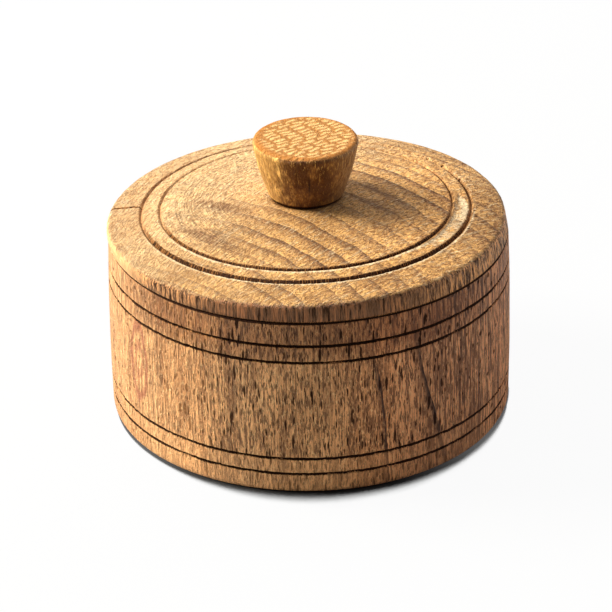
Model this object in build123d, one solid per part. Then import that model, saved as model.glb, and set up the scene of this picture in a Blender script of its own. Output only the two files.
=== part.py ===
from build123d import *
import math
import os

# A small lidded bowl, turned from solid wood in three pieces: the bowl, its lift-off lid and the
# lid's tapered knob. All sizes are in millimetres. Every piece is turned about the Z axis, and the
# bowl stands on the plane Z = 0.

# Bowl, outside. The side is one long shallow arc, widest a little above the foot.
bowl_height = 41.1
belly_radius = 45.3
belly_height = 9.9
side_arc_radius = 650.0
heel_rounding = 1.0
rim_easing = 0.35

# Bowl, inside. The cavity is cylindrical, with a rounded corner at its floor.
rim_wall = 5.9
floor_thickness = 6.0
floor_corner_rounding = 9.0
mouth_easing = 0.6

# The underside is cut to a very shallow cone, so that the bowl stands on a ring and never rocks.
foot_ring_width = 8.0
foot_hollow_depth = 0.8

# Two pairs of scribed lines run round the bowl, one below the rim and one above the foot.
upper_line_drops = (5.35, 9.25)
lower_line_heights = (4.65, 8.45)
side_line_width = 0.7
side_line_depth = 0.5

# Lid. Its shoulder rests on the rim, and its spigot drops into the mouth with room to lift freely.
lid_inset = 0.1
dome_rise = 8.6
dome_radius = 195.0
lid_edge_rounding = 1.5
shoulder_easing = 0.35
spigot_depth = 5.0
spigot_clearance = 0.35
spigot_lead_in = 0.9

# The underside of the lid is hollowed inside the spigot.
spigot_wall = 6.5
lid_hollow_depth = 5.5
lid_hollow_rounding = 3.0

# Two scribed rings run round the top of the lid, this far in from its edge.
lid_ring_insets = (7.85, 12.05)
lid_ring_width = 1.5
lid_ring_depth = 0.9

# Knob, a tapered turning with its own tenon, which is glued in a hole through the lid.
knob_height = 13.8
knob_base_radius = 8.6
knob_top_radius = 12.0
knob_top_rounding = 1.1
knob_base_rounding = 1.2
knob_land_margin = 0.5
tenon_radius = 4.0
tenon_glue_gap = 0.05
tenon_end_chamfer = 0.4


def bowl_side_radius(height):
    """Radius of the bowl's outside at a height above the foot."""
    drop = height - belly_height
    return belly_radius - side_arc_radius + math.sqrt(side_arc_radius**2 - drop**2)


def lid_top_height(radius):
    """Height of the lid's domed top at a radius from the axis."""
    return bowl_height + dome_rise - dome_radius + math.sqrt(dome_radius**2 - radius**2)


# Sizes that follow from the ones above, shared by the pieces that meet.
rim_radius = bowl_side_radius(bowl_height)
mouth_radius = rim_radius - rim_wall
lid_radius = rim_radius - lid_inset
spigot_radius = mouth_radius - spigot_clearance
spigot_foot = bowl_height - spigot_depth
lid_hollow_radius = spigot_radius - spigot_wall
lid_hollow_roof = spigot_foot + lid_hollow_depth
knob_land_radius = knob_base_radius + knob_land_margin
knob_seat = lid_top_height(knob_land_radius)


def block(inner, outer, low, high):
    """A rectangle of a turned section, from one radius and height to another."""
    return make_face(
        Polyline((inner, low), (outer, low), (outer, high), (inner, high), close=True)
    )


def corner(section, radius, height):
    """The corner of a turned section that lies at this radius and height."""
    return section.vertices().sort_by_distance(Vector(radius, height))[0]


def scribed_line(radius, height, outward, width, depth):
    """A V cut for a turned section: its width is measured where it breaks the surface at the
    given radius and height, and its tip lies the given depth below that."""
    surface = Vector(radius, height)
    out = Vector(*outward)
    across = Vector(-out.Y, out.X)
    tip = surface - out * depth
    mouth = surface + out * depth
    return make_face(Polyline(tip, mouth + across * width, mouth - across * width, close=True))


def turned(section, name):
    """The solid that a section gives when it is turned once round the Z axis."""
    solid = revolve(Plane.XZ * section, Axis.Z)
    solid.label = name
    return solid


def bowl_section():
    """Half of the bowl cut through its axis."""
    heel_radius = bowl_side_radius(0)
    waist = bowl_height / 2
    section = make_face(
        [
            Line((0, 0), (heel_radius, 0)),
            ThreePointArc(
                (heel_radius, 0), (bowl_side_radius(waist), waist), (rim_radius, bowl_height)
            ),
            Line((rim_radius, bowl_height), (0, bowl_height)),
            Line((0, bowl_height), (0, 0)),
        ]
    )
    section = fillet(corner(section, heel_radius, 0), heel_rounding)
    section = chamfer(corner(section, rim_radius, bowl_height), rim_easing)

    cavity = block(0, mouth_radius, floor_thickness, bowl_height)
    section -= fillet(corner(cavity, mouth_radius, floor_thickness), floor_corner_rounding)
    section = chamfer(corner(section, mouth_radius, bowl_height), mouth_easing)

    dish_radius = heel_radius - heel_rounding - foot_ring_width
    section -= make_face(Polyline((0, 0), (dish_radius, 0), (0, foot_hollow_depth), close=True))

    heights = [bowl_height - drop for drop in upper_line_drops] + list(lower_line_heights)
    for height in heights:
        side = bowl_side_radius(height)
        section -= scribed_line(side, height, (1, 0), side_line_width, side_line_depth)
    return section


def lid_section():
    """Half of the lid cut through its axis, at rest on the bowl."""
    edge_height = lid_top_height(lid_radius)
    middle = (knob_land_radius + lid_radius) / 2
    section = make_face(
        [
            Polyline(
                (0, knob_seat),
                (0, spigot_foot),
                (spigot_radius, spigot_foot),
                (spigot_radius, bowl_height),
                (lid_radius, bowl_height),
                (lid_radius, edge_height),
            ),
            ThreePointArc(
                (lid_radius, edge_height),
                (middle, lid_top_height(middle)),
                (knob_land_radius, knob_seat),
            ),
            Line((knob_land_radius, knob_seat), (0, knob_seat)),
        ]
    )
    section = fillet(corner(section, lid_radius, edge_height), lid_edge_rounding)
    section = chamfer(corner(section, lid_radius, bowl_height), shoulder_easing)
    section = chamfer(corner(section, spigot_radius, spigot_foot), spigot_lead_in)

    hollow = block(0, lid_hollow_radius, spigot_foot, lid_hollow_roof)
    section -= fillet(corner(hollow, lid_hollow_radius, lid_hollow_roof), lid_hollow_rounding)
    section -= block(0, tenon_radius + tenon_glue_gap, spigot_foot, knob_seat)

    for inset in lid_ring_insets:
        radius = lid_radius - inset
        top = lid_top_height(radius)
        section -= scribed_line(radius, top, (0, 1), lid_ring_width, lid_ring_depth)
    return section


def knob_section():
    """Half of the knob cut through its axis, seated on the lid, with its tenon below it."""
    knob_top = knob_seat + knob_height
    body = make_face(
        Polyline(
            (0, knob_seat),
            (knob_base_radius, knob_seat),
            (knob_top_radius, knob_top),
            (0, knob_top),
            close=True,
        )
    )
    body = fillet(corner(body, knob_top_radius, knob_top), knob_top_rounding)
    body = fillet(corner(body, knob_base_radius, knob_seat), knob_base_rounding)

    tenon = block(0, tenon_radius, lid_hollow_roof, knob_seat)
    tenon = chamfer(corner(tenon, tenon_radius, lid_hollow_roof), tenon_end_chamfer)
    return body + tenon


pieces = [
    turned(bowl_section(), "bowl"),
    turned(lid_section(), "lid"),
    turned(knob_section(), "knob"),
]

os.makedirs("parts", exist_ok=True)
for piece in pieces:
    export_step(piece, f"parts/{piece.label}.step")
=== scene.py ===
"""A small lidded bowl of turned beech, with a domed lift-off lid and a tapered knob.

Each piece is turned as the real one is: a section is drawn point by point, spun round the axis,
and then worn by tools and hands. The wood is one solid timber in each piece, cut through by the
surface, so that growth rings, rays and fibres run on from face to face.
"""

import math

import bpy
from bpy.props import FloatProperty, FloatVectorProperty, PointerProperty
from mathutils import Matrix, Vector, noise


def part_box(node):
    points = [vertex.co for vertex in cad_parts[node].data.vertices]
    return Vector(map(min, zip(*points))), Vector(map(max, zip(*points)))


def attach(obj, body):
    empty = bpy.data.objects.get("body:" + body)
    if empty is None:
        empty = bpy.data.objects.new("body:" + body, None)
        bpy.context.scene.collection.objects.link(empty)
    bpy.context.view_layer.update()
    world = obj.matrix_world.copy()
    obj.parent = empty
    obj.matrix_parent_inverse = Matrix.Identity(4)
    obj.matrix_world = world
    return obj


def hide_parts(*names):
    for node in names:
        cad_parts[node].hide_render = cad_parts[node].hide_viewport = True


bl_info = {
    "name": "Turned Beech Bowl",
    "version": (1, 0, 0),
    "blender": (4, 5, 0),
    "location": "View3D > Sidebar > Beech Bowl",
    "description": "Turns a small bowl, its lid and its knob in beech, and sets them on a studio floor",
    "category": "Add Mesh",
}

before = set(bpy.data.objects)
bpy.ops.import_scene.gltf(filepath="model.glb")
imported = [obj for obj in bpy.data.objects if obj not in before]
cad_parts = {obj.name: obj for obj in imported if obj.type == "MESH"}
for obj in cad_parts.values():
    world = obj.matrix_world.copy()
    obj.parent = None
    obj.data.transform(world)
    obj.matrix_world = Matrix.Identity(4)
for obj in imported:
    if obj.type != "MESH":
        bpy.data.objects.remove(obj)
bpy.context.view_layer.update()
BOWL_LOW, BOWL_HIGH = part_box("bowl")
LID_LOW, LID_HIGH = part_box("lid")
KNOB_LOW, KNOB_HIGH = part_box("knob")

MM = 0.001


def length(name, description, default):
    """A length that a user can change, in metres."""
    return FloatProperty(name=name, description=description, default=default, unit="LENGTH", precision=5)


def pair(name, description, default):
    """Two lengths that belong together, in metres."""
    return FloatVectorProperty(
        name=name, description=description, size=2, default=default, unit="LENGTH", precision=5
    )


def colour(name, description, default):
    """A colour that a user can change."""
    return FloatVectorProperty(
        name=name, description=description, default=default, subtype="COLOR", min=0, max=1
    )


def angle(name, description, degrees):
    """An angle that a user can change, given here in degrees."""
    return FloatProperty(
        name=name, description=description, default=math.radians(degrees), subtype="ANGLE"
    )


def power(name, description, watts):
    """The power of a light that a user can change, in watts."""
    return FloatProperty(name=name, description=description, default=watts, unit="POWER")


class BowlSizes(bpy.types.PropertyGroup):
    belly_radius: length("Belly radius", "Widest radius, low on the side", BOWL_HIGH.y - 0.03 * MM)
    belly_height: length("Belly height", "Height of the widest place", 9.9 * MM)
    side_arc: length("Side arc", "Radius of the long arc of the side", 650 * MM)
    height: length("Height", "From the floor to the rim", BOWL_HIGH.z)
    heel_rounding: length("Heel rounding", "Rounding where the side meets the foot", 1 * MM)
    foot_ring: length("Foot ring", "Width of the ring that the bowl stands on", 8 * MM)
    foot_hollow: length("Foot hollow", "Depth of the shallow dish underneath", 0.8 * MM)
    rim_wall: length("Rim wall", "Thickness of the wall at the rim", 5.9 * MM)
    rim_easing: length("Rim easing", "Rounding of the rim's outer edge", 0.45 * MM)
    mouth_easing: length("Mouth easing", "Bevel of the rim's inner edge", 0.6 * MM)
    floor_thickness: length("Floor", "Thickness of the floor", 6 * MM)
    corner_rounding: length("Inner corner", "Rounding between wall and floor", 9 * MM)
    lower_lines: pair("Lower lines", "Heights of the two lines above the foot", (4.65 * MM, 8.45 * MM))
    upper_lines: pair("Upper lines", "Drops of the two lines below the rim", (9.25 * MM, 5.35 * MM))
    line_width: length("Line width", "Width of the scribed lines", 0.7 * MM)
    line_depth: length("Line depth", "Depth of the scribed lines", 0.5 * MM)


class LidSizes(bpy.types.PropertyGroup):
    radius: length("Radius", "Outer radius of the lid", LID_HIGH.y - 0.02 * MM)
    dome_rise: length("Dome rise", "Height of the full dome above the rim", 8.6 * MM)
    dome_radius: length("Dome radius", "Radius of the domed top", 195 * MM)
    edge_rounding: length("Edge rounding", "Rounding between rim and dome", 1.5 * MM)
    spigot_depth: length("Spigot depth", "How far the spigot drops into the bowl", BOWL_HIGH.z - LID_LOW.z)
    spigot_radius: length("Spigot radius", "Outer radius of the spigot", 38.28 * MM)
    spigot_wall: length("Spigot wall", "Thickness of the spigot", 6.5 * MM)
    spigot_lead_in: length("Spigot lead-in", "Bevel of the spigot's lower edge", 0.9 * MM)
    hollow_depth: length("Hollow depth", "Depth of the hollow underneath", 5.5 * MM)
    hollow_rounding: length("Hollow rounding", "Rounding inside the hollow", 3 * MM)
    rings: pair("Rings", "Radii of the two scribed rings", (32.4 * MM, 36.6 * MM))
    ring_width: length("Ring width", "Width of the scribed rings", 1.5 * MM)
    ring_depth: length("Ring depth", "Depth of the scribed rings", 0.9 * MM)
    knob_land: length("Knob land", "Radius of the flat under the knob", 9.1 * MM)
    knob_hole: length("Knob hole", "Radius of the hole for the tenon", 4.05 * MM)


class KnobSizes(bpy.types.PropertyGroup):
    base_radius: length("Base radius", "Radius at the base, before its swell", 8.6 * MM)
    base_swell: length("Base swell", "How far the rounded base stands out", 0.3 * MM)
    base_rounding: length("Base rounding", "Rounding of the base edge", 1.2 * MM)
    top_radius: length("Top radius", "Radius of the top before rounding", 12 * MM)
    top_rounding: length("Top rounding", "Rounding of the top edge", 1.1 * MM)
    tenon_radius: length("Tenon radius", "Radius of the glued tenon", 4 * MM)
    tenon_bevel: length("Tenon bevel", "Bevel round the end of the tenon", 0.4 * MM)


class WoodColours(bpy.types.PropertyGroup):
    pale: colour("Pale wood", "Fresh growth of the year", (0.92, 0.525, 0.19))
    # This colour also paints light on the left end of the lid's upright edge.
    ruddy_and_painted_light: colour("Ruddy wood", "Fresh growth on the bowl's side grain", (0.96, 0.50, 0.21))
    tan: colour("Tan wood", "Late growth of the year", (0.44, 0.22, 0.09))
    brown: colour("Brown edges", "The dark edge of a growth ring", (0.20, 0.09, 0.036))
    # This colour also paints the darkest shade, at the seam, round the knob's base and in the lid's rings.
    pore_and_painted_shade: colour("Pores", "Pores, ray ends and old dirt", (0.034, 0.014, 0.008))
    # This colour also paints light on the left and back of the lid's dome, and highlight on the lips of its
    # rings.
    raw_and_painted_light: colour("Torn wood", "Pale wood where the surface has torn", (0.96, 0.74, 0.46))
    # This colour paints both dirt in the lid's rings and shade at the seam, round the knob and on the
    # rings' front walls.
    grime_and_painted_shade: colour("Grime", "Thin dirt in the rings of the lid", (0.36, 0.15, 0.045))
    # The lid's upright edge, painted in shade in front and behind and in light at the left and right.
    rim_painted_shade: colour("Rim in front", "Edge of the lid, in front and behind", (0.45, 0.172, 0.06))
    rim_painted_light: colour("Rim beside", "Edge of the lid, at the left and right", (0.95, 0.44, 0.16))
    speck: colour("Specks", "Bright specks in the bowl's side grain", (1.0, 0.60, 0.27))
    inside: colour("Inside", "Fresher wood inside the bowl", (0.90, 0.62, 0.36))
    flame: colour("Flame", "Red flame figure at the left of the bowl", (0.40, 0.13, 0.06))
    # These three also paint light and shade on the knob's flank: light at the left, shade in the middle,
    # lighter at the right.
    honey_and_painted_light: colour("Honey", "Warm glow of the knob", (0.97, 0.55, 0.15))
    amber_painted_shade: colour("Amber", "Darker wood of the knob", (0.41, 0.175, 0.038))
    russet_painted_light: colour("Russet", "Right flank of the knob", (0.52, 0.28, 0.12))
    umber: colour("Umber", "Dark fibres on the knob's flank", (0.19, 0.077, 0.022))
    bar: colour("Bars", "Bright bars across the knob's top", (0.98, 0.63, 0.25))
    gap: colour("Gaps", "Darker wood between the bars", (0.46, 0.185, 0.03))
    knob_rim: colour("Knob rim", "Edge of the knob's top", (0.50, 0.185, 0.03))


# Width of the camera's sensor in millimetres, which its lens is measured against.
SENSOR_WIDTH = 36


class StudioSettings(bpy.types.PropertyGroup):
    camera_distance: length("Camera distance", "From the bowl's axis to the camera, level", 564.4 * MM)
    camera_height: length("Camera height", "Above the floor", 327.76 * MM)
    pitch: angle("Pitch", "How far the camera looks down", 28.506)
    turn: angle("Turn", "How far the camera is turned aside", 0.082)
    roll: angle("Roll", "How far the camera leans", -1.006)
    lens: FloatProperty(name="Lens", description="Focal length in millimetres", default=167.25)
    key_power: power("Key power", "Power of the large soft light", 30)
    sky_power: power("Sky power", "Power of the light overhead", 6)
    edge_power: power("Edge power", "Power of the light behind", 3)
    surround: FloatProperty(
        name="Surround", description="Strength of the even light from all round", default=0.25
    )


def arc(centre, radius, start, end, steps):
    """Points of an arc in the lathe's section, from one angle to another in degrees."""
    angles = [math.radians(start + (end - start) * i / steps) for i in range(steps + 1)]
    return [(centre[0] + radius * math.cos(a), centre[1] + radius * math.sin(a)) for a in angles]


def stations(start, end, spacing, cuts, cut_width):
    """Places along a run, evenly spaced, with close ones across each scribed cut."""
    count = max(1, round(abs(end - start) / spacing))
    places = [start + (end - start) * i / count for i in range(count + 1)]
    places = [p for p in places if all(abs(p - c) > 1.1 * cut_width for c in cuts)]
    shares = (-0.95, -0.72, -0.5, -0.34, -0.17, 0, 0.17, 0.34, 0.5, 0.72, 0.95)
    for cut in cuts:
        places += [cut + share * cut_width for share in shares]
    return sorted(places, reverse=end < start)


def cut_depth(place, cuts, width, depth):
    """Depth of the V cuts at a place on the surface."""
    nearest = min(abs(place - cut) for cut in cuts)
    return depth * max(0.0, 1 - 2 * nearest / width)


def turn(name, section, steps):
    """Turns a section into a solid piece.

    One point is extruded along the section, the wire is spun through an eighth of a turn, and
    that sector is copied round the rest.
    """
    bpy.ops.object.select_all(action="DESELECT")
    bpy.ops.mesh.primitive_plane_add(size=MM, location=(0, 0, 0))
    piece = bpy.context.object
    piece.name = name
    piece.data.name = name
    bpy.ops.object.mode_set(mode="EDIT")
    bpy.ops.mesh.select_all(action="SELECT")
    bpy.ops.mesh.merge(type="CENTER")
    radius, height = section[0]
    bpy.ops.transform.translate(value=(radius, 0, height))
    for next_radius, next_height in section[1:]:
        step = (next_radius - radius, 0, next_height - height)
        bpy.ops.mesh.extrude_region_move(TRANSFORM_OT_translate={"value": step})
        radius, height = next_radius, next_height
    sector = math.tau / 8
    bpy.ops.mesh.select_all(action="SELECT")
    bpy.ops.mesh.spin(steps=steps // 8, angle=sector, center=(0, 0, 0), axis=(0, 0, 1))
    for sectors in (1, 2, 4):
        bpy.ops.mesh.select_all(action="SELECT")
        bpy.ops.mesh.duplicate()
        bpy.ops.transform.rotate(value=sector * sectors, orient_axis="Z", center_override=(0, 0, 0))
    bpy.ops.mesh.select_all(action="SELECT")
    bpy.ops.mesh.remove_doubles(threshold=0.002 * MM)
    bpy.ops.mesh.normals_make_consistent(inside=False)
    bpy.ops.object.mode_set(mode="OBJECT")
    return piece


def side_radius(sizes, height):
    """Radius of the bowl's outside at a height."""
    drop = height - sizes.belly_height
    return sizes.belly_radius - sizes.side_arc + math.sqrt(sizes.side_arc**2 - drop**2)


def side_lines(sizes):
    """Heights of the four lines scribed round the side."""
    return tuple(sizes.lower_lines) + tuple(sizes.height - drop for drop in sizes.upper_lines)


# Points of a section are about this far apart along its plain stretches.
SPACING = 1.05 * MM


def bowl_section(sizes):
    """Half of the bowl cut through its axis, from the middle of the underside round to the floor."""
    heel, easing, bevel, top = sizes.heel_rounding, sizes.rim_easing, sizes.mouth_easing, sizes.height
    foot = side_radius(sizes, heel) - heel
    rim = side_radius(sizes, top)
    mouth = rim - sizes.rim_wall
    points = [(0, sizes.foot_hollow), (17 * MM, 0.42 * MM)]
    points += [(foot - sizes.foot_ring, 0), (foot - sizes.foot_ring / 2, 0)]
    points += arc((foot, heel), heel, -90, 0, 5)
    lines = side_lines(sizes)
    for height in stations(heel + 0.9 * MM, top - 0.8 * MM, SPACING, lines, sizes.line_width):
        depth = cut_depth(height, lines, sizes.line_width, sizes.line_depth)
        points.append((side_radius(sizes, height) - depth, height))
    points.append((side_radius(sizes, top - 0.6 * MM), top - 0.6 * MM))
    points += arc((rim - easing, top - easing), easing, 0, 90, 4)
    points += [(rim - 1.1 * MM, top), (rim - sizes.rim_wall / 2, top)]
    points += [(mouth + bevel, top), (mouth, top - bevel)]
    corner = sizes.floor_thickness + sizes.corner_rounding
    points += [(mouth, corner + (top - corner) * share) for share in (0.8, 0.5, 0.2)]
    points += arc((mouth - sizes.corner_rounding, corner), sizes.corner_rounding, 0, -90, 9)
    points += [(18 * MM, sizes.floor_thickness), (0, sizes.floor_thickness)]
    return points


def dome_height(sizes, radius):
    """Height of the lid's top at a radius."""
    drop = sizes.dome_radius - math.sqrt(sizes.dome_radius**2 - radius**2)
    return BOWL_HIGH.z + sizes.dome_rise - drop


def lid_section(sizes):
    """Half of the lid cut through its axis, from the hole for the knob down round to the top."""
    shoulder, rim, spigot = BOWL_HIGH.z, sizes.radius, sizes.spigot_radius
    foot = shoulder - sizes.spigot_depth
    roof = foot + sizes.hollow_depth
    hollow, inner = spigot - sizes.spigot_wall, sizes.hollow_rounding
    points = [(sizes.knob_hole, LID_HIGH.z), (sizes.knob_hole, roof), (16 * MM, roof)]
    points += arc((hollow - inner, roof - inner), inner, 90, 0, 5)
    points += [(hollow, foot), (spigot - sizes.spigot_lead_in, foot), (spigot, foot + sizes.spigot_lead_in)]
    points += [(spigot, shoulder), (rim - 0.4 * MM, shoulder), (rim - 0.2 * MM, shoulder + 0.12 * MM)]
    tilt = math.degrees(math.asin(rim / sizes.dome_radius))
    centre = dome_height(sizes, rim) - sizes.edge_rounding * math.tan(math.radians(90 - tilt) / 2)
    points += [(rim, shoulder + share * (centre - shoulder)) for share in (0.16, 0.45, 0.75)]
    points += arc((rim - sizes.edge_rounding, centre), sizes.edge_rounding, 0, 90 - tilt, 7)
    outer = points[-1][0] - 0.6 * MM
    for radius in stations(outer, sizes.knob_land, SPACING, sizes.rings, sizes.ring_width):
        depth = cut_depth(radius, sizes.rings, sizes.ring_width, sizes.ring_depth)
        points.append((radius, dome_height(sizes, radius) - depth))
    points += [(6.5 * MM, LID_HIGH.z), (sizes.knob_hole, LID_HIGH.z)]
    return points


def knob_section(sizes):
    """Half of the knob cut through its axis, from the end of the tenon up to the top."""
    tip, seat, top = KNOB_LOW.z, LID_HIGH.z, KNOB_HIGH.z
    tenon, bevel = sizes.tenon_radius, sizes.tenon_bevel
    points = [(0, tip), (tenon - bevel, tip), (tenon, tip + bevel), (tenon, seat), (6.5 * MM, seat)]
    lean = math.degrees(math.atan2(sizes.top_radius - sizes.base_radius, top - seat))
    corner = math.tan(math.radians(90 + lean) / 2)
    low, high = sizes.base_rounding, sizes.top_rounding
    low_centre = sizes.base_radius + sizes.base_swell - low * corner
    high_centre = sizes.top_radius - high * corner
    points += arc((low_centre, seat + low), low, -90, -lean, 7)
    edge = arc((high_centre, top - high), high, -lean, 90, 9)
    start, end = Vector(points[-1]), Vector(edge[0])
    points += [tuple(start.lerp(end, i / 40)) for i in range(1, 40)] + edge
    points += [(high_centre * share, top) for share in (0.96, 0.9, 0.8, 0.65, 0.5, 0.35, 0.2, 0.08, 0)]
    return points


def ripple(point, wave, seed=0.0):
    """Smooth noise from about -1 to 1, whose waves are about this long."""
    return noise.noise(Vector(point) / wave + Vector((seed, 1.7 * seed, -seed)))


def swell(value, centre, reach):
    """A smooth bump: 1 at its centre and 0 from its reach on."""
    share = abs(value - centre) / reach
    return 0.0 if share >= 1 else (1 - share * share) ** 2


def ramp(value, low, high):
    """Rises smoothly from 0 at the low value to 1 at the high one."""
    share = min(1.0, max(0.0, (value - low) / (high - low)))
    return share * share * (3 - 2 * share)


def wear(piece, touch):
    """Moves each point of a piece as a touch says, and notes there how much dirt and painted shade darken
    it, and how much torn wood and painted highlight pale it.
    """
    mesh = piece.data
    dirt = mesh.attributes.new("dirt", "FLOAT", "POINT")
    torn = mesh.attributes.new("torn", "FLOAT", "POINT")
    for index, vertex in enumerate(mesh.vertices):
        place, soiled_and_shaded, ripped_and_highlight = touch(vertex.co)
        vertex.co = place
        dirt.data[index].value = soiled_and_shaded
        torn.data[index].value = ripped_and_highlight
    mesh.update()


def seam_painted_shade(co):
    """How much painted shade darkens the seam between bowl and lid: all in front, and none at the back
    left.
    """
    return 1 - ramp(-co.x + 0.9 * co.y, 22 * MM, 44 * MM)


def bowl_touch(sizes):
    """Wear of the bowl: soft hollows, upright grain, ragged scribed lines, and painted shade at the seam.
    """
    lines = side_lines(sizes)
    rim = side_radius(sizes, sizes.height)

    def touch(co):
        radius = math.hypot(co.x, co.y)
        if radius < rim - 2 * MM or co.z < 0.3 * MM:
            return co, 0, 0
        inward = 0.04 * MM * (1 + ripple(co, 9 * MM))
        inward += 0.022 * MM * (1 + ripple((co.x, co.y, 0.15 * co.z), 0.9 * MM))
        height = co.z
        line = min(lines, key=lambda place: abs(place - height))
        share = abs(height - line) / sizes.line_width
        soiled_and_shaded = 0
        if share < 1:
            here = (co.x, co.y, 9 * line)
            ragged = ripple(here, 0.75 * MM) + 0.5 * ripple(here, 2.6 * MM, 4)
            height += 0.16 * MM * ragged * (1 - share)
            chip = max(0, ripple(here, 1.3 * MM, 8) - 0.1)
            inward += 0.45 * MM * chip * max(0, 1 - 1.2 * share)
            soiled_and_shaded = ramp(share, 0.86, 0.16) * (0.8 + 0.45 * ripple(here, 5 * MM, 2))
        # Painted shade along the seam under the lid's rim, broadest a little left of the middle.
        thick = (0.05 + 0.3 * swell(co.x, -14 * MM, 28 * MM)) * MM
        seam = ramp(co.z, sizes.height - thick - 0.25 * MM, sizes.height - thick)
        seam *= ramp(radius, rim - MM, rim - 0.5 * MM)
        soiled_and_shaded = max(soiled_and_shaded, seam * seam_painted_shade(co))
        keep = 1 - inward / radius
        return Vector((co.x * keep, co.y * keep, height)), soiled_and_shaded, 0

    return touch


# The lid's top leans a little, because hand turning left its rim thicker at the front right. It
# sits a little to the left of the axis, and the knob less so.
LID_LEAN = (0.018, -0.018)
LID_SHIFT = -0.45 * MM
KNOB_SHIFT = 0.7 * LID_SHIFT

# How far the flank of the knob is barrelled.
KNOB_BARREL = 0.3 * MM

# Chips beside the outer ring of the lid: angle in degrees, radius, and size.
CHIPS = (
    (-6.5, 37.4 * MM, 0.55 * MM),
    (-10.5, 37.9 * MM, 0.6 * MM),
    (-15.5, 37.3 * MM, 0.5 * MM),
    (-20, 37.7 * MM, 0.6 * MM),
    (6, 37.6 * MM, 0.7 * MM),
    (20, 36.9 * MM, 0.8 * MM),
    (33, 37.2 * MM, 0.9 * MM),
    (41, 36.7 * MM, 0.7 * MM),
)

# The crack in the lid runs in from the rim through these places, seen from above.
CRACK = ((-44.6, 6.0), (-38.0, 3.6), (-35.0, 1.9), (-31.6, 0.2))


def crack_distance(x, y):
    """Distance from a place on the lid to the crack, and how far along it that is, from 0 to 1."""
    place = Vector((x, y)) / MM
    best = (1e9, 0)
    for i, (start, end) in enumerate(zip(CRACK, CRACK[1:])):
        start, end = Vector(start), Vector(end)
        run = end - start
        share = min(1, max(0, (place - start).dot(run) / run.length_squared))
        best = min(best, ((place - start - share * run).length * MM, (i + share) / (len(CRACK) - 1)))
    return best


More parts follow.
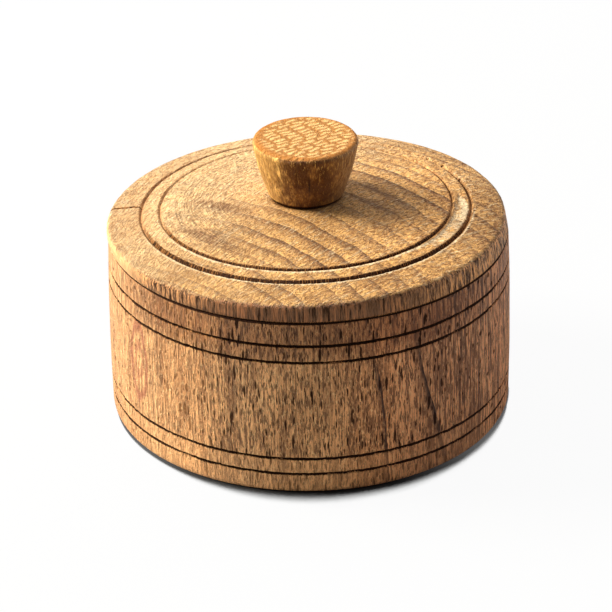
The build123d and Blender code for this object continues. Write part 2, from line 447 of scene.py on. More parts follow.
def lid_touch(sizes):
    """Wear of the lid, with painted shade and highlight: a leaning top, torn rings, a chipped band, a
    crack, a rubbed edge.
    """
    shoulder = BOWL_HIGH.z
    inner_ring, outer_ring = sizes.rings
    half = sizes.ring_width / 2

    def tearing(angle):
        """How badly the rings are torn: more cleanly cut at the left and back, ragged from the front on."""
        return 0.3 + 0.7 * ramp(math.cos(math.radians(angle + 60)), -0.4, 0.35)

    def stain_and_shade(angle):
        """How dark the rings are, in dirt and painted shade: darkest in front, where their inner walls face
        away from the light, and pale at the back.
        """
        front = ramp(math.cos(math.radians(angle + 86)), 0.05, 0.8)
        return 0.18 + max(0.82 * front, 0.62 * swell(angle, 30, 45))

    def touch(co):
        radius = math.hypot(co.x, co.y)
        if co.z < shoulder + 0.01 * MM or radius < 4.5 * MM:
            return co, 0, 0
        if radius < sizes.radius - 5 * MM and co.z < shoulder + 2 * MM:
            return co, 0, 0
        angle = math.degrees(math.atan2(co.y, co.x))
        lift = min(1, (co.z - shoulder) / (2.3 * MM))
        height = co.z - 0.035 * MM * (1 + ripple(co, 10 * MM))
        edge = ramp(radius, sizes.radius - 2.2 * MM, sizes.radius)
        inward = edge * lift * 0.09 * MM * (1.2 + ripple(co, 5 * MM) + ripple(co, 1.6 * MM, 3))
        inward += 0.02 * MM * edge * (1 + ripple((co.x, co.y, 0.15 * co.z), 0.8 * MM))
        # Painted shade along the lid's lowest edge, at the seam.
        soiled_and_shaded = ramp(co.z, shoulder + 0.3 * MM, shoulder + 0.1 * MM) * seam_painted_shade(co)
        # Painted shade on the lid round the knob's base, in front.
        soiled_and_shaded = max(soiled_and_shaded, ramp(radius, 9.1 * MM, 8.7 * MM) * ramp(co.y, 3 * MM, -4 * MM))
        ripped_and_highlight = 0
        rag, dark = tearing(angle), stain_and_shade(angle)
        # Painted highlight with torn wood: a pale, slightly raised lip on each ring's outer edge, weaker
        # from the right round to the back.
        lip = rag * (1 - 0.65 * ramp(angle, -20, 5))
        for ring, fullness in ((inner_ring, 0.66), (outer_ring, 0.86)):
            offset = radius - ring
            share = abs(offset) / half
            if share > 2:
                continue
            here = (co.x, co.y, 7 * ring)
            cut = sizes.ring_depth * max(0, 1 - share)
            clean = fullness * (0.8 + 0.2 * dark) + 0.1 * ripple(here, 4 * MM)
            height += cut - max(0, cut - (1 - clean) * sizes.ring_depth)
            tick = ripple(here, 0.42 * MM) + 0.5 * ripple(here, 1.3 * MM, 5)
            if offset < 0.3 * half:
                inward -= 0.22 * MM * rag * tick * max(0, 1 - 0.6 * share)
            else:
                inward -= 0.18 * MM * rag * ripple(here, 0.7 * MM, 9) * max(0, 1 - 0.5 * share)
                height += 0.15 * MM * lip * swell(share, 1.15, 0.6) * max(0, 0.4 + tick)
                ripped_and_highlight = max(ripped_and_highlight, lip * swell(share, 1.1, 0.6) * (0.8 + 0.5 * ripple(here, 2 * MM, 6)))
            # Painted shade with dirt on each ring's inner wall, and a slight darkening across the whole
            # ring.
            wall = ramp(offset, 0.35 * half, -0.1 * half)
            wall *= ramp(offset, -1.15 * clean * half, -0.8 * clean * half)
            soiled_and_shaded = max(soiled_and_shaded, wall * dark, 0.22 * ramp(share + 0.6 * tick, 1.3, 0.8))
        taper = max(0.1, ramp(angle, 13, -9))
        band = swell(radius, (inner_ring + outer_ring) / 2, 2.1 * taper * MM)
        facet = ramp(angle, -52, -30) * ramp(angle, 12.5, 10) * min(1, 2.2 * band)
        if facet > 0:
            toward_axis = ramp(radius, outer_ring - half, inner_ring + 0.5 * half)
            height -= facet * MM * (0.05 + 0.7 * toward_axis + 0.1 * ripple(co, 0.8 * MM, 2))
            fresh = 0.4 + 0.6 * ramp(angle, -22, -4) * ramp(radius, inner_ring + MM, outer_ring - half)
            ripped_and_highlight = max(ripped_and_highlight, facet * (fresh + 0.5 * ripple(co, 0.7 * MM)))
            soiled_and_shaded *= 1 - 0.5 * facet
        for chip_angle, chip_radius, size in CHIPS:
            turned = math.radians(chip_angle)
            away = math.hypot(co.x - chip_radius * math.cos(turned), co.y - chip_radius * math.sin(turned))
            away *= 1 + 0.5 * ripple(co, 0.5 * MM, chip_angle)
            height -= 0.55 * size * swell(away, 0, size)
            soiled_and_shaded = max(soiled_and_shaded, swell(away, 0, 0.7 * size))
            ripped_and_highlight = max(ripped_and_highlight, 0.3 * swell(away, 1.15 * size, 0.5 * size))
        away, along = crack_distance(co.x, co.y)
        if away < 0.5 * MM:
            fading = 1 - 0.85 * ramp(along, 0.3, 0.6)
            height -= 0.35 * MM * fading * swell(away, 0, 0.4 * MM)
            soiled_and_shaded = max(soiled_and_shaded, fading * swell(away, 0, 0.5 * MM))
        keep = 1 - inward / radius
        height += lift * (LID_LEAN[0] * co.x + LID_LEAN[1] * co.y)
        return Vector((co.x * keep + LID_SHIFT * lift, co.y * keep, height)), soiled_and_shaded, ripped_and_highlight

    return touch


def knob_touch():
    """Wear of the knob: a barrelled, rubbed flank, a dimpled top, and painted shade round its base in
    front.
    """
    seat, top = LID_HIGH.z, KNOB_HIGH.z

    def touch(co):
        radius = math.hypot(co.x, co.y)
        if co.z < seat or radius < 6 * MM and co.z < seat + MM:
            return co, 0, 0
        barrel = math.sin(math.pi * ramp(co.z, seat, top)) * ramp(radius, 6 * MM, 8 * MM)
        inward = 0.07 * MM * (1 + ripple((co.x, co.y, 0.3 * co.z), 5 * MM)) - KNOB_BARREL * barrel
        inward += 0.03 * MM * (1 + ripple((co.x, co.y, 0.12 * co.z), 0.7 * MM))
        near_top = ramp(co.z, top - 1.2 * MM, top)
        height = co.z - near_top * 0.05 * MM * (1 + ripple(co, 2.2 * MM))
        keep = 1 - min(1, radius / (5 * MM)) * inward / max(radius, MM)
        # Painted shade round the knob's base, in front, where it meets the lid.
        contact = ramp(co.z, seat + 1.1 * MM, seat + 0.6 * MM) * ramp(-co.y, -4 * MM, 5 * MM)
        return Vector((co.x * keep + KNOB_SHIFT, co.y * keep, height)), contact, 0

    return touch


# How strongly clean wood shines, and how strongly dirty wood and wood in painted shade shine.
CLEAN_SHEEN, DIRT_AND_SHADE_SHEEN = 0.32, 0.03


class Value:
    """What a node gives, with the sums and products that further nodes work out from it."""

    def __init__(self, finish, socket):
        self.finish, self.socket = finish, socket

    def __add__(self, other):
        return self.finish.math("ADD", self, other)

    def __sub__(self, other):
        return self.finish.math("SUBTRACT", self, other)

    def __mul__(self, other):
        return self.finish.math("MULTIPLY", self, other)

    def __truediv__(self, number):
        return self * (1 / number)

    def __abs__(self):
        return self.finish.math("ABSOLUTE", self)


class Finish:
    """Wires the nodes of one finish; whatever they take is a Value, a plain number or a colour."""

    def __init__(self, name):
        self.material = bpy.data.materials.new(name)
        self.material.use_nodes = True
        tree = self.material.node_tree
        self.nodes, self.links = tree.nodes, tree.links
        self.shader = self.nodes["Principled BSDF"]
        place = self.nodes.new("ShaderNodeMapping")
        place.inputs["Scale"].default_value = (1 / MM, 1 / MM, 1 / MM)
        self.feed(place.inputs["Vector"], self.made("ShaderNodeTexCoord", "Object"))
        self.x, self.y, self.z = self.split(Value(self, place.outputs[0]))

    def made(self, kind, output):
        """The named output of a new node that needs no input."""
        return Value(self, self.nodes.new(kind).outputs[output])

    def feed(self, socket, value):
        """Gives a socket its value, or a link to the node that works it out."""
        if isinstance(value, Value):
            self.links.new(value.socket, socket)
        elif socket.type == "RGBA":
            socket.default_value = (*value, 1)
        else:
            socket.default_value = value

    def wired(self, node, values):
        """Feeds a node's first inputs in order, and gives its first output."""
        for socket, value in zip(node.inputs, values):
            self.feed(socket, value)
        return Value(self, node.outputs[0])

    def math(self, operation, *values):
        """What a Math node works out, such as FLOOR or MAXIMUM."""
        node = self.nodes.new("ShaderNodeMath")
        node.operation = operation
        return self.wired(node, values)

    def hypot(self, first, second):
        """The distance across two level runs at right angles."""
        return self.math("SQRT", first * first + second * second)

    def split(self, vector):
        """The three parts of a vector."""
        node = self.nodes.new("ShaderNodeSeparateXYZ")
        self.feed(node.inputs[0], vector)
        return [Value(self, socket) for socket in node.outputs]

    def point(self, x, y, z):
        """A vector from its three parts."""
        return self.wired(self.nodes.new("ShaderNodeCombineXYZ"), (x, y, z))

    def noise(self, where, detail=2.0, rough=0.5):
        """Smooth noise from 0 to 1, whose waves are about 1 long."""
        node = self.nodes.new("ShaderNodeTexNoise")
        self.feed(node.inputs["Vector"], where)
        node.inputs["Scale"].default_value = 1
        node.inputs["Detail"].default_value = detail
        node.inputs["Roughness"].default_value = rough
        return Value(self, node.outputs[0])

    def grain(self, waves, detail=2.0, rough=0.5):
        """Noise through the wood, with its wave length along each axis in millimetres."""
        along_x, along_y, along_z = waves
        return self.noise(self.point(self.x / along_x, self.y / along_y, self.z / along_z), detail, rough)

    def waver(self, waves, amount, detail=2.0, rough=0.5):
        """Noise to both sides of 0, for edges and rows that waver by up to half the amount."""
        return (self.grain(waves, detail, rough) - 0.5) * amount

    def cells(self, where):
        """Distance to the nearest scattered point, and a random number for that point."""
        node = self.nodes.new("ShaderNodeTexVoronoi")
        self.feed(node.inputs["Vector"], where)
        node.inputs["Scale"].default_value = 1
        chance = self.nodes.new("ShaderNodeSeparateColor")
        self.links.new(node.outputs["Color"], chance.inputs[0])
        return Value(self, node.outputs["Distance"]), Value(self, chance.outputs[0])

    def between(self, value, low, high, start=0.0, end=1.0):
        """Runs smoothly from start to end as a value goes from low to high."""
        node = self.nodes.new("ShaderNodeMapRange")
        node.interpolation_type = "SMOOTHSTEP"
        return self.wired(node, (value, low, high, start, end))

    def wave(self, value, centre, reach):
        """1 where a value is at its centre, falling to 0 at its reach."""
        return self.between(abs(value - centre), reach, 0)

    def mix(self, share, first, second, kind="MIX"):
        """The first colour, with a share of the second one in it."""
        node = self.nodes.new("ShaderNodeMix")
        node.data_type = "RGBA"
        node.blend_type = kind
        self.feed(node.inputs[0], share)
        self.feed(node.inputs[6], first)
        self.feed(node.inputs[7], second)
        return Value(self, node.outputs[2])

    def tint(self, share, colour, strengths):
        """Strengthens or weakens the red, green and blue of a colour, by a share."""
        return self.mix(share, colour, self.mix(1.0, colour, strengths, "MULTIPLY"))

    def tone(self, share, colour, depth, warmth=0.25):
        """Darkens a colour, towards red as wood does, by a share of a depth."""
        shade = (depth, depth ** (1 + warmth), depth ** (1 + 1.8 * warmth))
        return self.mix(1.0, colour, self.mix(share, (1, 1, 1), shade), "MULTIPLY")

    def attribute(self, name):
        """What the wear of the piece, with its painted shade and highlight, left noted at its points."""
        node = self.nodes.new("ShaderNodeAttribute")
        node.attribute_name = name
        return Value(self, node.outputs["Fac"])

    def end_grain(self, ragged=0.0):
        """1 where the surface faces up or down across the fibres, and 0 on upright faces."""
        level = abs(self.split(self.made("ShaderNodeNewGeometry", "Normal"))[2])
        if ragged:
            level = level + self.waver((1.6, 1.6, 9), ragged, 3, 0.7)
        return self.between(level, 0.5, 0.8)

    def round_axis(self, radius):
        """The run round the piece's own axis, measured at a radius in millimetres."""
        return self.math("ARCTAN2", self.y, self.x) * radius

    def slanted(self, x, y, degrees):
        """How far a level place lies along a slanting line, and how far beside it."""
        slant = math.radians(degrees)
        return x * math.cos(slant) + y * math.sin(slant), y * math.cos(slant) - x * math.sin(slant)

    def around_pith(self, pith, lean, wave, sway):
        """Distance from the pith, wavering a little, and the run round it, both in millimetres."""
        across = self.x - pith[0]
        deep = self.y - pith[1]
        distance = self.hypot(across, deep) + self.z * lean
        wide = self.waver((wave, wave, 3 * wave), sway)
        fine = self.waver((2.2, 2.2, 20), 0.55)
        run = self.math("ARCTAN2", deep, across) * math.hypot(*pith)
        return distance + (wide + fine), run

    def dashes(self, run, distance, size, least, most):
        """Ray ends: upright dashes, one to a cell of this size, some larger than others."""
        wide, deep, tall = size
        drift = self.grain((1.1, 1.1, 2.4)) * 0.7
        away, luck = self.cells(self.point(run / wide + drift, distance / deep, self.z / tall))
        return self.between(away - self.between(luck, 0.15, 0.95, least, most), 0.07, -0.05)

    def blot(self, centre, reach, width, degrees, ragged=1.2):
        """A soft long stain on the lid's top: 1 in its middle, 0 outside."""
        along, aside = self.slanted(self.x - centre[0], self.y - centre[1], degrees)
        waver = self.waver((2.5, 2.5, 9), ragged, 4, 0.65)
        return self.between(self.hypot(along / reach, aside / width + waver), 1.1, 0.45)

    def oil(self, colour, roughness, relief, depth, dull):
        """Plugs colour, roughness, relief and sheen into the shader; dirty, dull and painted-shade wood has
        less sheen.
        """
        self.feed(self.shader.inputs["Base Color"], colour)
        self.feed(self.shader.inputs["Roughness"], roughness)
        grime_and_painted_shade = self.math("MAXIMUM", self.attribute("dirt"), dull)
        sheen = self.shader.inputs["Specular IOR Level"]
        sheen.default_value = CLEAN_SHEEN
        self.feed(sheen, self.between(grime_and_painted_shade, 0.1, 0.5, CLEAN_SHEEN, DIRT_AND_SHADE_SHEEN))
        bump = self.nodes.new("ShaderNodeBump")
        bump.inputs["Strength"].default_value = 1
        bump.inputs["Distance"].default_value = depth
        self.feed(bump.inputs["Height"], relief)
        self.links.new(bump.outputs[0], self.shader.inputs["Normal"])
        return self.material


# Dark stains on the lid's top: middle, half length and half width in millimetres, angle, strength.
STAINS = (
    ((-20.6, -18.2), 13.0, 2.1, -44, 0.9),
    ((-19.0, -3.2), 11.0, 2.1, -36, 0.9),
    ((17.5, -7.0), 9.0, 1.8, -40, 0.6),
    ((14.1, 3.4), 4.6, 1.5, -60, 0.75),
    ((19.1, -2.5), 6.4, 1.9, -58, 0.75),
    ((12.6, -4.0), 6.5, 1.1, -46, 0.65),
    ((18.4, -16.4), 4.6, 0.9, -42, 0.6),
    ((13.0, -42.4), 3.0, 1.0, 17, 0.7),
    ((23.0, -38.6), 3.4, 1.4, 30, 0.75),
    ((28.5, -34.6), 2.2, 1.2, 38, 0.7),
)


def lid_wood(colours):
    """End grain of the lid: rings from a pith off to the front left, rays, pores and tool marks."""
    wood = Finish("lid_beech_wood")
    x, y = wood.x, wood.y
    between, circle = wood.between, wood.hypot(x, y)

    # Years of growth, wide in the middle of the lid and narrower away from it. Each year turns
    # darker and ends in a brown edge, and some years show more than others.
    distance, run = wood.around_pith((-100, -120), 0.02, 15, 3.2)
    out = distance - 160.2
    count = out * (out * out * 3.05e-5 + 0.18) + 0.45
    season = wood.math("FRACT", count)
    chance = wood.noise(wood.point(wood.math("FLOOR", count) * 7.3, 3.1, 0.4), 0)
    shown = between(x * 0.8 - y * 0.6, -16, 12, 0.3, 1) * between(circle, 34, 30, 0.6, 1)
    late = between(season, 0.25, 1.0) * between(chance, 0.3, 0.6, 0.45, 1.0)
    edge = between(season, 0.74, 0.97) * between(chance, 0.35, 0.6, 0.35, 1.0)
    colour = wood.mix(late * shown * 0.9, colours.pale, colours.tan)
    colour = wood.mix(late * late * shown * 0.4, colour, colours.brown)
    colour = wood.mix(edge * shown * 0.75, colour, colours.brown)

    # Broad differences: patches, a darker rim, painted shade on the right, painted light on the left, back
    # and right of the dome, and parts that are warmer or darker.
    patches = wood.grain((9, 9, 30), 4, 0.6)
    colour = wood.tone(between(patches, 0.38, 0.66), colour, 0.72, 0.1)
    # Painted shade on the far right of the dome, which slopes away from the light.
    colour = wood.tone(between(x, 33, 41), colour, 0.78, 0.05)
    colour = wood.tone(between(circle, 36, 38), colour, 0.92, 0.1)
    # Painted light on the left and back of the dome.
    colour = wood.mix(between(x - y * 0.8, 6, -26, 0, 0.34), colour, colours.raw_and_painted_light)
    # Painted light right of the knob, where its shadow falls.
    painted_light_right = between(x, 12, 24) * between(circle, 36, 34)
    colour = wood.tint(painted_light_right, colour, (1.18, 1.15, 1.09))
    warm_front = between(x, -14, 2) * between(y, 14, 2)
    colour = wood.tint(warm_front, colour, (1.0, 0.96, 0.86))
    outer_left = between(x, -12, -36) * between(circle, 33, 39)
    colour = wood.tone(outer_left * between(y, -26, -6), colour, 0.8, 0.3)

    # Marks that the tool left as it went round, to the left of the knob.
    marks = wood.noise(wood.point(circle * 2.6, run * 0.12, 0), 1, 0.6)
    hatched = between(x, -8, -20) * (between(circle, 32, 29) * between(circle, 14, 20))
    colour = wood.tone(between(marks, 0.48, 0.58) * hatched, colour, 0.66, 0.05)

    # Rays and the gaps between them run out from the pith, among pores and fine fibres.
    strokes = wood.noise(wood.point(run * 2.1, distance * 0.3, wood.z * 0.2), 3, 0.65)
    rays = between(strokes, 0.5, 0.66)
    gaps = between(strokes, 0.46, 0.34)
    pores = between(wood.grain((0.3, 0.3, 5), 2, 0.6), 0.52, 0.68)
    fibres = wood.noise(wood.point(run * 1.9, distance * 0.8, wood.z * 0.08), 3, 0.75)
    colour = wood.mix(rays * 0.48, colour, colours.raw_and_painted_light)
    colour = wood.mix(gaps * 0.5, colour, colours.tan)
    colour = wood.mix(pores * 0.6, colour, colours.brown)
    flecks = between(fibres, 0.43, 0.62) * between(x + y * 0.4, -14, 8, 0.78, 1)
    colour = wood.tone(flecks, colour, 0.5, 0.3)

    # The upright edge shows side grain, in painted shade in front and behind, and in painted light at the
    # left and right, paler still at the left end.
    streaks = wood.grain((0.5, 0.5, 10), 4, 0.75)
    side = wood.mix(between(abs(x), 14, 34), colours.rim_painted_shade, colours.rim_painted_light)
    side = wood.mix(between(streaks, 0.42, 0.54), side, colours.brown)
    side = wood.mix(between(streaks, 0.54, 0.61) * 0.85, side, colours.pore_and_painted_shade)
    side = wood.mix(between(x, -33, -42), side, colours.ruddy_and_painted_light)
    colour = wood.mix(wood.end_grain(0.75), side, colour)

    # Stains, broken up by the rays, and the dark crack.
    streaked = between(strokes, 0.62, 0.4, 0.3, 1)
    for centre, reach, width, degrees, strength in STAINS:
        stain = wood.blot(centre, reach, width, degrees) * streaked * strength
        colour = wood.mix(stain, colour, colours.brown)
    crack = wood.blot((-41.0, 4.4), 4.8, 0.22, -23, 1.0)
    colour = wood.mix(crack * 0.9, colour, colours.pore_and_painted_shade)

    # Torn wood and painted highlight, and dirt and painted shade, along the rings, the seam and the knob's
    # base, in short ticks.
    ticks = wood.noise(wood.point(wood.round_axis(35) * 4.2, circle * 0.5, 3), 1, 0.6)
    ticks = (ticks - 0.5) * 4.6
    dirt, torn = wood.attribute("dirt"), wood.attribute("torn")
    colour = wood.mix(between(torn + ticks * 0.25, 0.2, 0.7, 0, 0.85), colour, colours.raw_and_painted_light)
    colour = wood.mix(between(dirt, 0.08, 0.45, 0, 0.9), colour, colours.grime_and_painted_shade)
    colour = wood.mix(between(dirt * (ticks + 0.9), 0.3, 0.55, 0, 0.95), colour, colours.pore_and_painted_shade)

    relief = rays * 0.8 + marks * hatched * 1.6 - pores - between(fibres, 0.4, 0.7) * 0.9 - crack * 2
    roughness = between(fibres, 0.3, 0.7, 0.42, 0.62)
    return wood.oil(colour, roughness, relief, 0.27 * MM, between(streaks, 0.5, 0.6, 0, 0.45))


def bowl_wood(colours):
    """Side grain of the bowl: ray ends as dark dashes in front, long fine lines to the right."""
    wood = Finish("bowl_beech_wood")
    x, y, z = wood.x, wood.y, wood.z
    between = wood.between

    # Years of growth, cut by the side as long arches, with a dark broken edge to each.
    distance, run = wood.around_pith((-3, -150), 0.0, 20, 0.7)
    out = distance + z * between(distance, 109.5, 116.5, 0.033, 0.215)
    season = wood.math("FRACT", (out - 109.85) / 10.7)
    shown = between(out, 123, 130, 1, 0.2) * between(x, -8, 10, 0.2, 1)
    edge = between(season, between(out, 112, 120, 0.95, 0.87), 0.985)
    broken = between(wood.grain((0.9, 0.9, 4.5), 2, 0.7), 0.36, 0.5, 0.5, 1)
    edge = edge * shown * (broken * between(z, 34, 30, 0.3, 1))
    late = between(season, 0.55, 1.0) * shown
    colour = wood.mix(late * 0.45, colours.ruddy_and_painted_light, colours.tan)

    # Broad patches and bands, bright specks, and fibres that are fainter at the left.
    fibres = wood.grain((0.48, 0.48, 3.0), 3, 0.75)
    lines = wood.grain((0.55, 0.55, 16), 2, 0.7)
    specks = between(wood.grain((0.45, 0.45, 1.1), 2, 0.6), 0.53, 0.64)
    faint = between(x, -14, -30, 1, 0.6)
    colour = wood.tone(between(wood.grain((9, 9, 28), 3, 0.6), 0.35, 0.7), colour, 0.78)
    colour = wood.tone(between(wood.grain((2.4, 2.4, 60), 3, 0.7), 0.45, 0.68), colour, 0.68)
    colour = wood.mix(specks * 0.85, colour, colours.speck)
    colour = wood.mix(between(lines, 0.46, 0.6) * between(x, 18, 32, 0.45, 1), colour, colours.brown)
    colour = wood.mix(between(fibres, 0.48, 0.58) * (faint * 0.9), colour, colours.brown)
    colour = wood.mix(edge * 0.92, colour, colours.pore_and_painted_shade)

    # Ray ends in three sizes. The larger ones show where the side runs along the years.
    tangent = between(abs(y) / 45, 0.55, 0.85)
    large = wood.dashes(run, distance, (1.2, 5, 6.5), 0.05, 0.27) * tangent
    medium = wood.dashes(run, distance, (0.85, 4, 3.8), 0.02, 0.29) * between(tangent, 0, 1, 0.25, 1)
    small = wood.dashes(run, distance, (0.56, 3, 2.0), -0.03, 0.27)
    for dash, strength in ((large, 0.94), (medium, 0.9), (small, 0.75)):
        colour = wood.mix(dash * (faint * strength), colour, colours.pore_and_painted_shade)

    # Painted shade darkens the front under the lid's rim; the front is ruddier low down, and the right is
    # redder.
    front = between(y, -12, -34)
    colour = wood.tone(between(z, 29, 36) * front, colour, 0.58)
    colour = wood.mix(between(z, 10, 7) * front, colour, wood.mix(0.25, colour, colours.ruddy_and_painted_light))
    colour = wood.tint(between(x, -4, 26), colour, (1.08, 0.93, 0.97))

    # Painted light in paler upright bands: left of the middle, right of it, at both ends, and over the wide
    # middle.
    painted_light_bands = wood.wave(x, -25, 12) + (wood.wave(x, 13, 10) * 0.8 + between(x, 37, 42))
    painted_light_bands = painted_light_bands + between(x, -33, -40, 0, 0.6)
    colour = wood.tint(painted_light_bands, colour, (1.17, 1.14, 1.1))
    painted_light_middle = between(x, -16, -8) * between(x, 27, 18)
    colour = wood.tint(painted_light_middle, colour, (1.12, 1.1, 1.07))

    # Fresher wood inside, and a flame figure of two rings outside, at the left.
    within = between(wood.hypot(x, y), 40.5, 39.5)
    colour = wood.mix(within * 0.4, colour, colours.inside)
    flame = wood.hypot((wood.round_axis(45) + 114.7) / 3.0, (z - 22) / 8.5)
    flame = flame + wood.waver((3, 3, 5), 0.7)
    figure = wood.math("MAXIMUM", wood.wave(flame, 1, 0.26), wood.wave(flame, 0.45, 0.22) * 0.8)
    colour = wood.mix(figure * 0.85, colour, colours.flame)

    # Dirt in the scribed lines, and painted shade along the seam under the lid.
    dirt = wood.attribute("dirt") + wood.waver((0.35, 0.35, 0.7), 0.9, 3, 0.7)
    colour = wood.mix(between(dirt, 0.38, 0.62, 0, 0.97), colour, colours.pore_and_painted_shade)
    relief = specks * 0.6 - between(fibres, 0.35, 0.7) * 1.2 - between(lines, 0.4, 0.7) * 0.5
    for dash in (large, medium, small):
        relief = relief - dash * 1.3
    holes = wood.math("MAXIMUM", large, wood.math("MAXIMUM", medium, small))
    roughness = between(fibres, 0.3, 0.7, 0.45, 0.65)
    return wood.oil(colour, roughness, relief, 0.28 * MM, holes * 0.5)


def knob_wood(colours):
    """The knob: honey-coloured, with rows of bright bars across its top, and painted light and shade on its
    flank.
    """
    wood = Finish("knob_beech_wood")
    x, y, z = wood.x, wood.y, wood.z
    between = wood.between

    # Rows of bars slant across the top, each row shifted against the next like bricks.
    crumbs = wood.waver((1.1, 1.1, 5), 0.7, 2, 0.6)
    along, aside = wood.slanted(x, y, 32)
    row = (aside + (wood.waver((2.6, 2.6, 20), 2.0, 1) + crumbs)) / 1.38
    shift = wood.noise(wood.point(wood.math("FLOOR", row) * 3.7, 0.2, 0.9), 0)
    brick = wood.math("FRACT", (along + crumbs) / 3.7 + shift * 5)
    bars = wood.wave(wood.math("FRACT", row), 0.5, 0.5) * between(wood.wave(brick, 0.5, 0.5), 0.0, 0.35)
    fibres = wood.grain((0.36, 0.36, 2.8), 3, 0.72)
    bright = between(wood.grain((3.5, 3.5, 9)), 0.35, 0.65, 0.7, 1)
    top = wood.mix(bars * bright, colours.gap, colours.bar)
    top = wood.tone(between(fibres, 0.48, 0.68), top, 0.68)
    rim = between(wood.hypot(x, y) + crumbs * 1.4, 9.5, 10.7)
    top = wood.mix(rim * 0.85, top, colours.knob_rim)

    # Painted light on the left of the flank and painted shade over its middle, lighter again at the right,
    # with dark fibres and a short split.
    patches = wood.grain((2.6, 2.6, 5), 4, 0.65)
    flank = wood.mix(between(x + (patches - 0.5) * 5, -7.5, -2), colours.honey_and_painted_light, colours.amber_painted_shade)
    shaded = between(x, 11, 4) * between(x, -8, -3, 0.65, 1)
    flank = wood.tone(between(patches, 0.34, 0.54) * shaded, flank, 0.3, 0.3)
    flank = wood.mix(between(x, 4, 10, 0, 0.5), flank, colours.russet_painted_light)
    dark = between(fibres, 0.48, 0.62) * between(x, -9, -3, 0.35, 0.85)
    flank = wood.mix(dark, flank, colours.umber)
    light = between(fibres, 0.45, 0.34) * between(z, 56, 62, 0.3, 0.7)
    flank = wood.mix(light, flank, colours.honey_and_painted_light)
    split = wood.wave(x + crumbs * 0.6, 0.4, 0.34) * wood.wave(z, 56, 4.5)
    flank = wood.mix(split * 0.9, flank, colours.pore_and_painted_shade)

    colour = wood.mix(wood.end_grain(), flank, top)
    # Painted shade round the base in front.
    colour = wood.mix(between(wood.attribute("dirt"), 0.1, 0.7, 0, 0.97), colour, colours.pore_and_painted_shade)
    relief = bars * 0.8 - between(fibres, 0.35, 0.7)
    roughness = between(fibres, 0.3, 0.7, 0.42, 0.6)
    return wood.oil(colour, roughness, relief, 0.2 * MM, rim * 0.3)


class Turned:
    """What every turning operator shares."""

    bl_options = {"REGISTER", "UNDO"}

    def deliver(self, piece, node, body, slot, wood):
        """Smooths a piece, gives it its wood, and hands it over in place of its CAD node."""
        bpy.ops.object.shade_smooth_by_angle(angle=math.radians(40))
        piece.data.materials.clear()
        piece.data.materials.append(wood)
        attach(piece, body)
        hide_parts(node)
        return {"FINISHED"}


class BEECHBOWL_OT_turn_bowl(Turned, bpy.types.Operator):
    """Turn the bowl with its cavity and its four scribed lines"""

    bl_idname = "beechbowl.turn_bowl"
    bl_label = "Turn Bowl"

    def execute(self, context):
        sizes = context.scene.beech_bowl
        piece = turn("turned_bowl", bowl_section(sizes), steps=840)
        wear(piece, bowl_touch(sizes))
        return self.deliver(piece, "bowl", "bowl", "bowl_beech", bowl_wood(context.scene.beech_colours))


class BEECHBOWL_OT_turn_lid(Turned, bpy.types.Operator):
    """Turn the domed lid with its spigot and its two scribed rings"""

    bl_idname = "beechbowl.turn_lid"
    bl_label = "Turn Lid"

    def execute(self, context):
        sizes = context.scene.beech_lid
        piece = turn("turned_lid", lid_section(sizes), steps=960)
        wear(piece, lid_touch(sizes))
        return self.deliver(piece, "lid", "lid", "lid_beech", lid_wood(context.scene.beech_colours))


class BEECHBOWL_OT_turn_knob(Turned, bpy.types.Operator):
    """Turn the tapered knob with its tenon"""

    bl_idname = "beechbowl.turn_knob"
    bl_label = "Turn Knob"

    def execute(self, context):
        sizes = context.scene.beech_knob
        piece = turn("turned_knob", knob_section(sizes), steps=360)
        wear(piece, knob_touch())
        return self.deliver(piece, "knob", "lid", "knob_beech", knob_wood(context.scene.beech_colours))


# Where the lights point: about the middle of the bowl with its lid.
LIT_PLACE = Vector((0, 0, 30 * MM))

# The soft lights: name, place, width, the setting that holds the power, and colour.
LIGHTS = (
    ("key_softbox", (-0.815, 0.20, 0.64), 0.45, "key_power", (1.0, 0.97, 0.87)),
    ("sky_softbox", (-0.05, 0.5, 0.9), 1.0, "sky_power", (1.0, 0.98, 0.95)),
    ("edge_softbox", (0.9, 0.45, 0.22), 0.6, "edge_power", (1.0, 0.97, 0.95)),
)


class BEECHBOWL_OT_set_stage(bpy.types.Operator):
    """Lay the pale floor, hang the soft light and place the camera"""

    bl_idname = "beechbowl.set_stage"
    bl_label = "Set Stage"
    bl_options = {"REGISTER", "UNDO"}

    def execute(self, context):
        studio = context.scene.beech_studio
        lay_floor()
        light_world(context.scene, studio)
        for name, place, width, setting, tinge in LIGHTS:
            hang_light(name, place, width, getattr(studio, setting), tinge)
        place_camera(context.scene, studio)
        return {"FINISHED"}


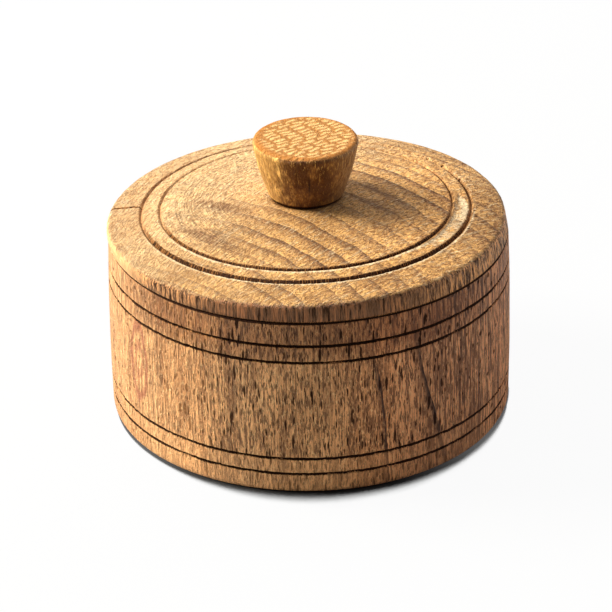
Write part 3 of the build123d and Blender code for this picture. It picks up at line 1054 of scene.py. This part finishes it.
def lay_floor():
    """A pale floor that the camera sees as white, with a thin dark shadow where the bowl touches it."""
    bpy.ops.object.select_all(action="DESELECT")
    bpy.ops.mesh.primitive_plane_add(size=6, location=(0, 0, 0))
    floor = bpy.context.object
    floor.name = "studio_floor"
    paint = Finish("pale_floor")
    paint.feed(paint.shader.inputs["Base Color"], (0.42, 0.42, 0.42))
    paint.shader.inputs["Roughness"].default_value = 0.9

    # The contact shadow reaches furthest in front and at the right.
    forward = paint.math("POWER", paint.math("MAXIMUM", paint.y / -46, 0.2), 1.5)
    nook = paint.nodes.new("ShaderNodeAmbientOcclusion")
    nook.samples = 16
    paint.feed(nook.inputs["Distance"], forward * paint.between(paint.x, -40, 0, 3.2 * MM, 9.2 * MM))
    openness = Value(paint, nook.outputs["AO"])
    darkest = paint.between(paint.y, -43, -22, 0, 0.11)
    glow = paint.nodes.new("ShaderNodeEmission")
    paint.feed(glow.inputs["Strength"], paint.between(openness, 0.61, 0.78, darkest))

    # What the camera sees is nearly all glow, with a little of the lit floor and its shadow.
    share = paint.made("ShaderNodeLightPath", "Is Camera Ray") * 0.95
    lit, glowing = Value(paint, paint.shader.outputs[0]), Value(paint, glow.outputs[0])
    seen = paint.wired(paint.nodes.new("ShaderNodeMixShader"), (share, lit, glowing))
    paint.feed(paint.nodes["Material Output"].inputs[0], seen)
    floor.data.materials.append(paint.material)


def light_world(scene, studio):
    """A dim even surround that the camera sees as white."""
    world = bpy.data.worlds.new("studio_surround")
    scene.world = world
    world.use_nodes = True
    tree = world.node_tree
    background = tree.nodes["Background"]
    background.inputs["Color"].default_value = (1, 1, 1, 1)
    path = tree.nodes.new("ShaderNodeLightPath")
    strength = tree.nodes.new("ShaderNodeMapRange")
    strength.inputs["To Min"].default_value = studio.surround
    strength.inputs["To Max"].default_value = 1
    tree.links.new(path.outputs["Is Camera Ray"], strength.inputs["Value"])
    tree.links.new(strength.outputs[0], background.inputs["Strength"])


def hang_light(name, place, width, watts, tinge):
    """A square soft light that hangs at a place and faces the bowl."""
    bpy.ops.object.select_all(action="DESELECT")
    bpy.ops.object.light_add(type="AREA", location=place)
    lamp = bpy.context.object
    lamp.name = name
    lamp.data.size = width
    lamp.data.energy = watts
    lamp.data.color = tinge
    aim = LIT_PLACE - Vector(place)
    lamp.rotation_euler = aim.to_track_quat("-Z", "Y").to_euler()


def place_camera(scene, studio):
    """The camera stands in front of the bowl and looks down at it."""
    bpy.ops.object.select_all(action="DESELECT")
    bpy.ops.object.camera_add(location=(0, -studio.camera_distance, studio.camera_height))
    camera = bpy.context.object
    camera.name = "front_camera"
    turned = Matrix.Rotation(studio.turn, 3, "Z")
    pitched = Matrix.Rotation(math.pi / 2 - studio.pitch, 3, "X")
    rolled = Matrix.Rotation(studio.roll, 3, "Z")
    camera.rotation_euler = (turned @ pitched @ rolled).to_euler()
    camera.data.sensor_width = SENSOR_WIDTH
    camera.data.lens = studio.lens
    scene.camera = camera
    scene.view_settings.view_transform = "Standard"


class BEECHBOWL_PT_workshop(bpy.types.Panel):
    """Lists the steps of the turning"""

    bl_label = "Beech Bowl"
    bl_space_type = "VIEW_3D"
    bl_region_type = "UI"
    bl_category = "Beech Bowl"

    def draw(self, context):
        for step in STEPS:
            self.layout.operator(step.bl_idname)


STEPS = (
    BEECHBOWL_OT_turn_bowl,
    BEECHBOWL_OT_turn_lid,
    BEECHBOWL_OT_turn_knob,
    BEECHBOWL_OT_set_stage,
)
SETTINGS = {
    "beech_bowl": BowlSizes,
    "beech_lid": LidSizes,
    "beech_knob": KnobSizes,
    "beech_colours": WoodColours,
    "beech_studio": StudioSettings,
}


def register():
    for group in SETTINGS.values():
        bpy.utils.register_class(group)
    for step in STEPS:
        bpy.utils.register_class(step)
    bpy.utils.register_class(BEECHBOWL_PT_workshop)
    for name, group in SETTINGS.items():
        setattr(bpy.types.Scene, name, PointerProperty(type=group))


def unregister():
    for name in SETTINGS:
        delattr(bpy.types.Scene, name)
    bpy.utils.unregister_class(BEECHBOWL_PT_workshop)
    for step in reversed(STEPS):
        bpy.utils.unregister_class(step)
    for group in reversed(SETTINGS.values()):
        bpy.utils.unregister_class(group)


def main():
    register()
    bpy.ops.beechbowl.turn_bowl()
    bpy.ops.beechbowl.turn_lid()
    bpy.ops.beechbowl.turn_knob()
    bpy.ops.beechbowl.set_stage()


if __name__ == "__main__":
    main()
